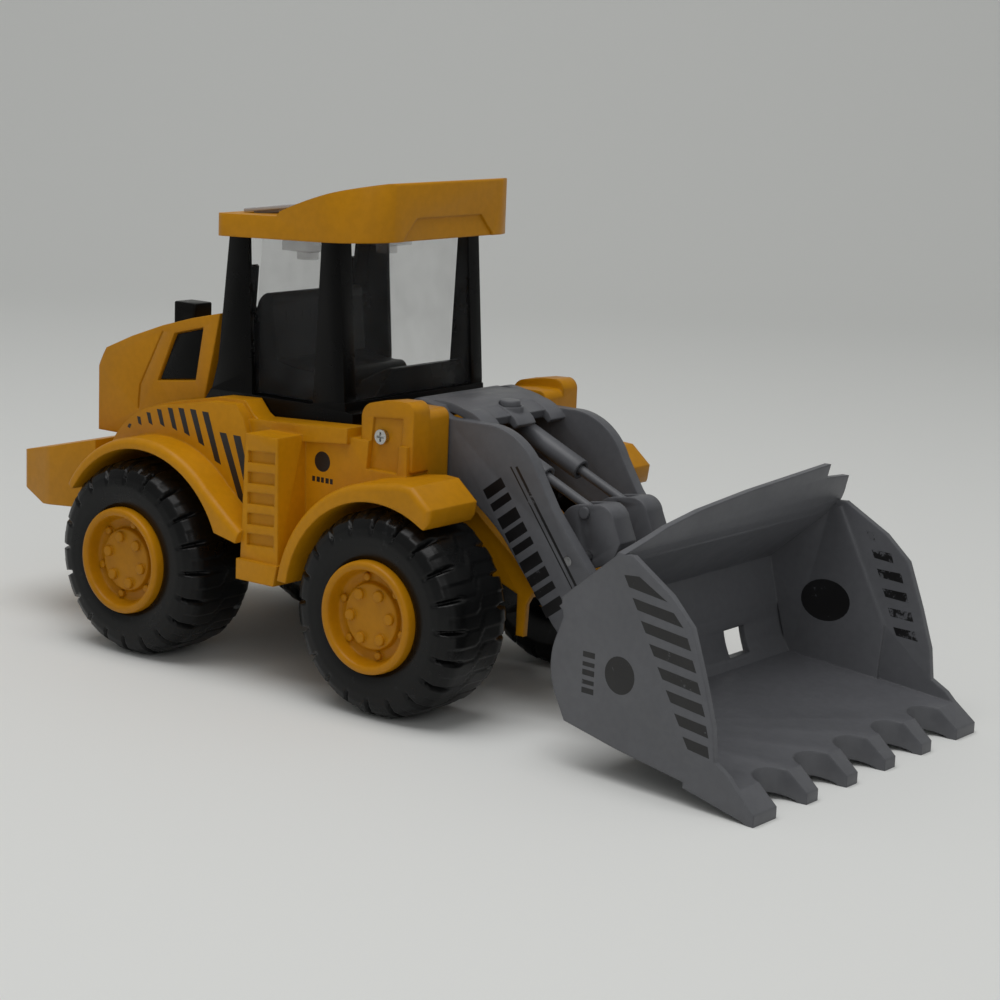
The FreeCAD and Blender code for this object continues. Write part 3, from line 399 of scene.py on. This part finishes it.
def tyre(name, centre_x, side, body, node):
    """Chunky tyre with long lugs, a thin slot between each pair and an offset mid-way across."""
    section = [(14.0, 33.0), (15.6, 31.3), (20.0, 30.2), (25.0, 29.7), (28.5, 30.6),
               (31.2, 32.4), (32.6, 34.6), (33.0, 37.0), (33.0, 45.5), (33.0, 54.0),
               (32.8, 55.6), (32.0, 57.8), (30.4, 59.9), (28.0, 61.1), (25.2, 61.45),
               (22.0, 61.3), (19.4, 60.9), (18.0, 60.3), (17.6, 58.0), (14.0, 57.0)]
    dense = []
    for (r0, y0), (r1, y1) in zip(section, section[1:]):
        parts = max(1, round(math.dist((r0, y0), (r1, y1)) / (0.75 if max(r0, r1) > 24 else 2.0)))
        dense += [(r0 + (r1 - r0) * i / parts, y0 + (y1 - y0) * i / parts) for i in range(parts)]
    dense.append(section[-1])
    steps = LUGS * 20
    work = bmesh.new()
    rings = []
    for radius, out in dense:
        across = 1 - (out - TYRE_INNER) / TYRE_WIDTH
        ring = []
        for i in range(steps):
            angle = 2 * math.pi * i / steps
            cut = groove(angle, across, radius)
            r = radius - cut * smoothstep(24.0, 31.0, radius) * (1.0 if radius > 29 else 0.45)
            y = out
            if radius < 32.3:
                y -= math.copysign(min(cut, 1.6) * 0.6, out - 46) * smoothstep(25.0, 27.5, radius)
            ring.append(work.verts.new(at(centre_x + r * math.cos(angle), side * y,
                                          WHEEL_RADIUS + r * math.sin(angle))))
        rings.append(ring)
    rings.append(rings[0])
    for first, second in zip(rings, rings[1:]):
        for i in range(steps):
            j = (i + 1) % steps
            work.faces.new((first[i], first[j], second[j], second[i]))
    finish_piece(name, work, body, "tyre_plastic", (node,))


def dome(work, centre, y0, y1, radius, side):
    """Round stud with a rounded edge, standing out of a hub's face."""
    curve = 0.45
    profile = [(radius * 1.12, y0 - 0.3), (radius, y0 + 0.15), (radius, y1 - curve)]
    for k in range(1, 5):
        a = math.pi / 8 * k
        profile.append((radius - curve + curve * math.cos(a), y1 - curve + curve * math.sin(a)))
    profile.append((0.2, y1))
    lathe(work, profile, centre, side, 20)


def hub(name, centre_x, side, body, node, turn, lag):
    """Wheel disc: rolled lip, dished ring with small bosses, raised centre with studs."""
    corners = [(14.0, 33.2), (16.0, 33.2), (16.0, 57.0), (17.5, 57.4), (17.95, 58.4),
               (17.95, 62.6), (17.5, 63.7), (16.6, 64.0), (15.6, 63.8), (15.0, 63.0),
               (14.5, 60.0), (14.0, 58.9), (13.0, 58.6), (11.4, 58.6), (10.9, 58.8),
               (10.5, 60.1), (10.1, 60.4), (9.0, 60.4), (0.2, 60.4)]
    work = bmesh.new()
    lathe(work, smooth_profile(corners, 2), (centre_x, WHEEL_RADIUS), side, 120)
    for i in range(6):
        for reach, y0, y1, radius, late in ((7.9, 60.3, 61.7, 1.8, 0.0), (12.5, 58.6, 60.0, 1.3, lag)):
            a = math.radians(60 * i + turn + late)
            centre = (centre_x + reach * math.cos(a), WHEEL_RADIUS + reach * math.sin(a))
            dome(work, centre, y0, y1, radius, side)
    obj = finish_piece(name, work, body, "hub_plastic", (node,))
    obj.data.set_sharp_from_angle(angle=math.radians(50))


for end, x, turn, lag in (("front", 0.0, 4.0, 38.0), ("rear", -WHEELBASE, 46.0, 31.0)):
    for hand, side in SIDES:
        body = end + "_wheelset"
        tyre("tyre_%s_%s_lugged" % (end, hand), x, side, body, "tyre_%s_%s" % (end, hand))
        hub("hub_%s_%s_disc" % (end, hand), x, side, body, "hub_%s_%s" % (end, hand), turn, lag)


# ------------------------------------------------------------------ moulded pieces

ROUNDED = [
    ("body_shell", "machine", "yellow_plastic", 0.55, 3),
    ("engine_hood", "machine", "yellow_plastic", 0.6, 3),
    ("counterweight", "machine", "yellow_plastic", 0.8, 3),
    ("cab_roof", "machine", "yellow_plastic", 0.6, 3),
    ("cab_frame", "machine", "black_plastic", 0.35, 2),
    ("exhaust_box", "machine", "black_plastic", 0.5, 2),
    ("chassis", "machine", "black_plastic", 0.4, 2),
    ("seat", "machine", "seat_plastic", 1.4, 3),
    ("hood_side_windows", "machine", "black_plastic", 0.25, 2),
    ("roof_window", "machine", "roof_plate_plastic", 0.3, 2),
    ("boom_cap_pin", "boom_assembly", "grey_plastic", 0.4, 3),
    ("dashboard", "machine", "black_plastic", 0.6, 3),
    ("boom", "boom_assembly", "grey_plastic", 0.45, 3),
    ("bucket", "loader_bucket", "grey_plastic", 0.6, 3),
    ("tilt_lever_left", "tilt_levers", "grey_plastic", 0.35, 2),
    ("tilt_lever_right", "tilt_levers", "grey_plastic", 0.35, 2),
    ("cylinder_barrel_left", "cylinder_barrels", "grey_plastic", 0.25, 2),
    ("cylinder_barrel_right", "cylinder_barrels", "grey_plastic", 0.25, 2),
]
for node, body, slot, width, segments in ROUNDED:
    rounded(node, body, slot, width, segments)


def in_boss(vert):
    """True for the two clear fixing bosses that hang under the roof."""
    return abs(vert.co.x - (FRONT_AXLE + BOSS_X) * MM) < 7 * MM and abs(vert.co.y) < 27 * MM


def split_glazing():
    """The clear panes, and the bosses in the same plastic where it is thick and looks frosted."""
    source = frame["nodes"]["cab_glazing"].data
    for name, wanted, material in (("cab_panes", False, MATERIALS["clear_plastic"]),
                                   ("cab_clear_bosses", True, THICK_CLEAR)):
        work = bmesh.new()
        work.from_mesh(source)
        others = [v for v in work.verts if in_boss(v) != wanted]
        bmesh.ops.delete(work, geom=others, context="VERTS")
        bmesh.ops.remove_doubles(work, verts=work.verts, dist=WELD_DISTANCE)
        obj = finish_piece(name, work, "machine", "clear_plastic", ("cab_glazing",), material)
        bevel(obj, 0.3, 2)
        apply_modifiers(obj)
        obj.data.set_sharp_from_angle(angle=SHARP_ANGLE)


split_glazing()


# ------------------------------------------------------------------ printed marks

FILM = 0.05


def side_place(out, side):
    """Place on an upright plane, out millimetres from the middle plane."""
    return lambda u, v, t: at(u, side * (out + t), v)


def plate_place(gap, side):
    """Place on the bucket's slanting side plate; a negative gap is on the inner face."""
    return lambda u, v, t: at(u, side * (bucket_half(u) + gap + t), v)


def bucket_half(x):
    """Distance of the side plate's outer face from the middle plane at x."""
    return 57.5 + 7.5 * (x - 70.0) / 74.5


def clip_right(outline, limit):
    """Part of an outline that has x below the limit."""
    result = []
    for (x0, z0), (x1, z1) in zip(outline, outline[1:] + outline[:1]):
        if x0 <= limit:
            result.append((x0, z0))
        if (x0 - limit) * (x1 - limit) < 0:
            result.append((limit, z0 + (z1 - z0) * (limit - x0) / (x1 - x0)))
    return result


def panel_stripes():
    """Slanting stripes between the top of the rear panel and the wheel arch."""
    stripes = [((-119.6, 76.4), (-120.4, 75.0), 1.2), ((-115.6, 79.4), (-114.9, 76.8), 1.6),
               ((-111.0, 81.4), (-109.8, 77.6), 1.9), ((-106.0, 83.1), (-104.2, 77.8), 2.1),
               ((-100.8, 84.2), (-98.4, 77.3), 2.3), ((-95.7, 84.8), (-92.6, 76.3), 2.6),
               ((-90.2, 85.1), (-85.9, 73.9), 2.7), ((-84.5, 85.0), (-78.3, 68.8), 2.9),
               ((-76.3, 79.1), (-65.9, 54.6), 3.1), ((-70.0, 79.0), (-62.6, 57.0), 3.3),
               ((-65.0, 79.0), (-60.0, 66.0), 2.0)]
    panel_end = -64.6
    for hand, side in SIDES:
        for k, (top, foot, wide) in enumerate(stripes):
            half = wide / 2
            outline = [(top[0] - half, top[1]), (top[0] + half, top[1]),
                       (foot[0] + half, foot[1] - 0.35 * half), (foot[0] - half, foot[1] + 0.35 * half)]
            outline = clip_right(outline, panel_end)
            print_patch("panel_stripe_%s_%d" % (hand, k), outline, side_place(REAR_PANEL_FACE, side),
                        "machine", INK_ON_YELLOW)


PLATE_EDGE = [(97.0, 68.2), (111.5, 59.4), (119.6, 51.6), (124.8, 37.3), (128.7, 24.8),
              (129.8, 15.2)]


def plate_edge(z, inset):
    """x of the bucket plate's front edge at height z, less an inset."""
    for (x0, z0), (x1, z1) in zip(PLATE_EDGE, PLATE_EDGE[1:]):
        if z0 >= z >= z1:
            return x0 + (x1 - x0) * (z0 - z) / (z0 - z1) - inset
    return PLATE_EDGE[-1][0] - inset


def bucket_stripes():
    """Stripes along the front edge of each side plate, worn ones on the inner faces."""
    for hand, side in SIDES:
        for k in range(8):
            x, z = 94.0 + 3.45 * k, 62.3 - 6.03 * k
            low = z - 3.2
            outline = [(x, z), (plate_edge(z, 2.0), z - 0.1 * (plate_edge(z, 2.0) - x)),
                       (plate_edge(low, 1.6), low - 0.1 * (plate_edge(low, 1.6) - x)), (x + 2.0, low)]
            if k == 0:
                outline[1] = (99.6, 62.8)
            print_patch("plate_stripe_%s_%d" % (hand, k), outline, plate_place(0.0, side),
                        "loader_bucket", INK_ON_GREY)
        for k in range(6):
            x, z = 104.6 + 2.3 * k, 60.0 - 6.0 * k
            right = plate_edge(z, 3.4)
            outline = [(x, z), (right, z - 0.4), (right + 1.0, z - 3.4), (x + 1.2, z - 2.6)]
            print_patch("inner_stripe_%s_%d" % (hand, k), outline,
                        plate_place(-BUCKET_RIM_WALL, side), "loader_bucket", WORN_INK_ON_GREY)


def round_patch(centre, radius, squash=1.0):
    """Outline of a disc, or of an oval when squashed upright."""
    angles = [2 * math.pi * i / 28 for i in range(28)]
    return [(centre[0] + radius * math.cos(a), centre[1] + squash * radius * math.sin(a))
            for a in angles]


def bars(first, step, count, along, height, widths):
    """Row of upright bars: outlines that start at first and move on by step."""
    across = (-along[1], along[0])
    result = []
    for k in range(count):
        x, z = first[0] + step * k * along[0], first[1] + step * k * along[1]
        wide = widths[k % len(widths)]
        result.append([(x, z), (x + wide * along[0], z + wide * along[1]),
                       (x + wide * along[0] + height * across[0],
                        z + wide * along[1] + height * across[1]),
                       (x + height * across[0], z + height * across[1])])
    return result


def plain_marks():
    """Plain discs, bars and lines in the places where such toys carry printing."""
    down_arm = (0.590, -0.807)
    arm_marks = bars((14.2, 70.4), 5.2, 9, down_arm, 8.6, (3.4, 2.6, 3.8))
    arm_marks += [[(26.6, 79.4), (27.4, 79.9), (52.9, 45.1), (52.2, 44.5)],
                  [(24.6, 79.2), (25.0, 79.5), (51.2, 44.0), (50.9, 43.7)]]
    shell_marks = [round_patch((-36.0, 74.7), 3.3)]
    shell_marks += bars((-40.2, 67.9), 1.9, 5, (1.0, 0.0), 1.7, (1.2, 1.4))
    plate_marks = [round_patch((94.0, 32.6), 5.6)]
    plate_marks += bars((84.4, 24.6), 2.7, 5, (0.0, 1.0), 4.6, (1.7, 1.3))
    for hand, side in SIDES:
        groups = (("arm_mark", arm_marks, side_place(BOOM_FACE, side), "boom_assembly", INK_ON_GREY),
                  ("shell_mark", shell_marks, side_place(SHELL_FACE, side), "machine", INK_ON_YELLOW),
                  ("plate_mark", plate_marks, plate_place(0.0, side), "loader_bucket", INK_ON_GREY))
        for name, outlines, place, body, ink in groups:
            for k, outline in enumerate(outlines):
                print_patch("%s_%s_%d" % (name, hand, k), outline, place, body, ink)
        print_patch("inner_mark_" + hand, round_patch((92.6, 35.2), 8.6, 0.8),
                    plate_place(-BUCKET_WALL, side), "loader_bucket", INK_ON_GREY)


def seat_ribs():
    """Upright ribs on the front of the seat's back."""
    work = bmesh.new()
    for k in range(9):
        y = -16.0 + 4.0 * k
        corners = [(-78.9, y - 0.9), (-78.2, y - 0.4), (-78.2, y + 0.4), (-78.9, y + 0.9)]
        low = [work.verts.new(at(x + 1.2, v, 103.0)) for x, v in corners]
        high = [work.verts.new(at(x - 0.1, v, 116.5)) for x, v in corners]
        close_prism(work, low, high)
    finish_piece("seat_ribs", work, "machine", "seat_plastic", smooth=False)


panel_stripes()
bucket_stripes()
plain_marks()
seat_ribs()

slots = {s["node"]: s["material_slot"] for s in frame["record"]["subparts"]}
for node, obj in frame["nodes"].items():
    obj.data.materials.clear()
    obj.data.materials.append(MATERIALS[slots[node]])


# ------------------------------------------------------------------ stage

def build_stage():
    """Pale floor that curves up into a backdrop."""
    work = bmesh.new()
    profile = [(-2.2, 0.0), (1.0, 0.0)]
    for k in range(1, 13):
        a = math.pi / 2 * k / 12
        profile.append((1.0 + 0.6 * math.sin(a), 0.6 - 0.6 * math.cos(a)))
    profile.append((1.6, 2.6))
    rows = [[work.verts.new((x, y, z)) for x in (-3.5, 3.5)] for y, z in profile]
    for a, b in zip(rows, rows[1:]):
        work.faces.new((a[0], a[1], b[1], b[0]))
    mesh = bpy.data.meshes.new("floor")
    work.to_mesh(mesh)
    work.free()
    floor = bpy.data.objects.new("floor", mesh)
    bpy.context.scene.collection.objects.link(floor)
    floor.rotation_euler = (0, 0, math.radians(37.6))
    for polygon in mesh.polygons:
        polygon.use_smooth = True
    material, _, _, shader = new_material("pale_paper")
    shader.inputs["Base Color"].default_value = (0.80, 0.805, 0.79, 1.0)
    shader.inputs["Roughness"].default_value = 0.75
    mesh.materials.append(material)


def area_light(name, place, target, size, power):
    """Rectangular lamp that faces a target."""
    light = bpy.data.lights.new(name, "AREA")
    light.shape = "RECTANGLE"
    light.size, light.size_y = size
    light.energy = power
    obj = bpy.data.objects.new(name, light)
    bpy.context.scene.collection.objects.link(obj)
    obj.location = place
    direction = Vector(target) - Vector(place)
    obj.rotation_euler = direction.to_track_quat("-Z", "Y").to_euler()


def build_lights():
    """Even light from the room, a broad lamp above and a weaker one from the front."""
    world = bpy.data.worlds.new("room")
    world.use_nodes = True
    background = world.node_tree.nodes["Background"]
    background.inputs["Color"].default_value = (0.97, 0.985, 0.97, 1.0)
    background.inputs["Strength"].default_value = 0.31
    bpy.context.scene.world = world
    area_light("ceiling_light", (0.05, -0.25, 1.35), (0.0, 0.0, 0.0), (1.1, 0.9), 9.5)
    area_light("window_light", (0.95, -0.85, 0.75), (0.0, 0.0, 0.05), (0.7, 0.6), 1.6)


def build_camera():
    """Camera low in front on the machine's right, rolled a little."""
    azimuth, elevation, roll = (math.radians(v) for v in (37.611, 11.228, 2.144))
    back = Vector((math.sin(azimuth) * math.cos(elevation),
                   -math.cos(azimuth) * math.cos(elevation), math.sin(elevation)))
    right = (-back).cross(Vector((0, 0, 1))).normalized()
    up = right.cross(-back)
    turned_right = math.cos(roll) * right + math.sin(roll) * up
    turned_up = -math.sin(roll) * right + math.cos(roll) * up
    camera = bpy.data.cameras.new("camera")
    camera.lens = 90.43
    camera.sensor_width = 36.0
    camera.clip_start = 0.01
    obj = bpy.data.objects.new("camera", camera)
    bpy.context.scene.collection.objects.link(obj)
    axes = Matrix((turned_right, turned_up, back)).transposed().to_4x4()
    obj.matrix_world = Matrix.Translation(at(490.73, -634.08, 220.98)) @ axes
    bpy.context.scene.camera = obj


build_stage()
build_lights()
build_camera()
bpy.context.scene.view_settings.view_transform = "Standard"
